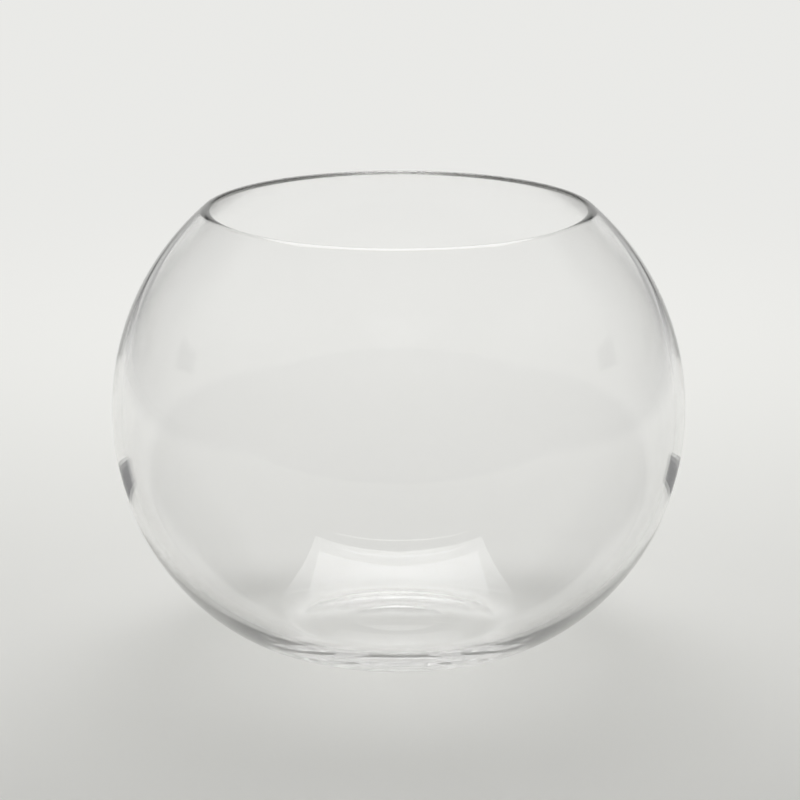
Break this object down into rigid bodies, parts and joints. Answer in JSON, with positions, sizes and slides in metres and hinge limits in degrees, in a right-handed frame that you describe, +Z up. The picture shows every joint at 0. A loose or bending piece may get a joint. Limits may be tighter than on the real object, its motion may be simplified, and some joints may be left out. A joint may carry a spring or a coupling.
{
  "type": "rose bowl vase",
  "caption": "Clear blown glass rose bowl: a rounded belly that draws in to a wide open mouth with a smooth rim, on a small flat foot. Holds water and cut flowers.",
  "frame": {"origin": "middle of the circle that the bowl rests on, at the height of the table", "axes": "+Z up along the bowl's axis, through the middle of the mouth; the bowl is round about it, so X and Y are any two level directions"},
  "size_m": [0.2, 0.2, 0.1545],
  "materials": {
    "clear_glass": "polished clear soda-lime glass, very faint grey"
  },
  "bodies": {
    "root": {"glass_bowl": "clear_glass"}
  },
  "joints": []
}
